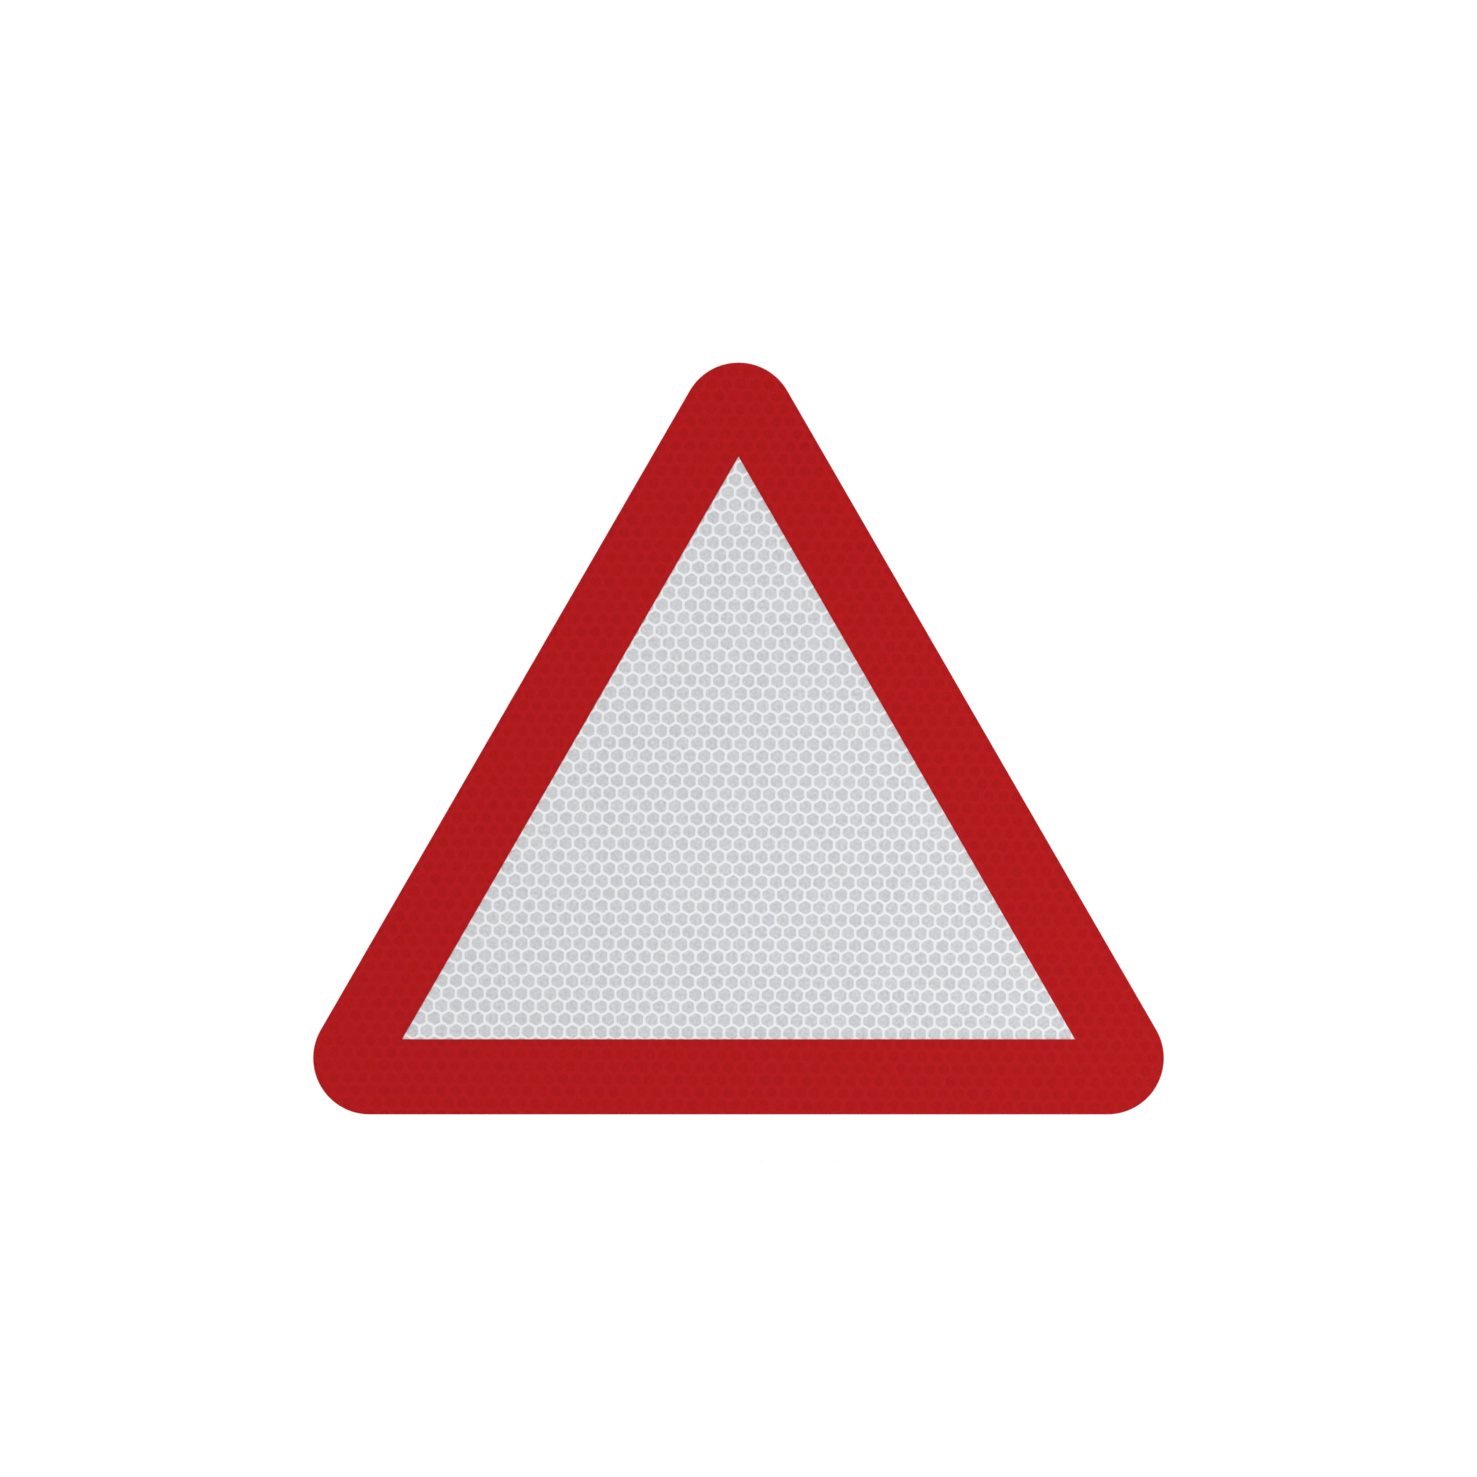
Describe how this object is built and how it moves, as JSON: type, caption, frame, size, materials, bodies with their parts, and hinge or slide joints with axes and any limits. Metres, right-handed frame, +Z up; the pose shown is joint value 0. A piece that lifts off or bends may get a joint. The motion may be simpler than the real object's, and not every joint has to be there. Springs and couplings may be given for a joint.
{
  "type": "warning triangle road sign",
  "caption": "Triangular warning sign plate with a white reflective face, a red border and slotted rails on its back that take post clips.",
  "frame": {"origin": "middle of the lower rail's open face, in line with its slot, where a post clip bears", "axes": "+Z up the sign, +X to the right seen from the front, -Y out of the sign's face, +Y to the post"},
  "size_m": [0.6788, 0.0174, 0.5999],
  "materials": {
    "plate_aluminium": "aluminium sheet, painted satin grey on its back and bare on its cut edge",
    "white_reflective": "silver-white honeycomb reflective film",
    "red_reflective": "red honeycomb reflective film",
    "rail_aluminium": "extruded, with fine lines along its length",
    "foam_tape": "dark grey closed-cell foam"
  },
  "bodies": {
    "root": {"sign_plate": "plate_aluminium", "white_sheeting": "white_reflective", "red_border_sheeting": "red_reflective", "lower_rail": "rail_aluminium", "upper_rail": "rail_aluminium", "lower_rail_top_tape": "foam_tape", "lower_rail_bottom_tape": "foam_tape", "upper_rail_top_tape": "foam_tape", "upper_rail_bottom_tape": "foam_tape"}
  },
  "joints": []
}
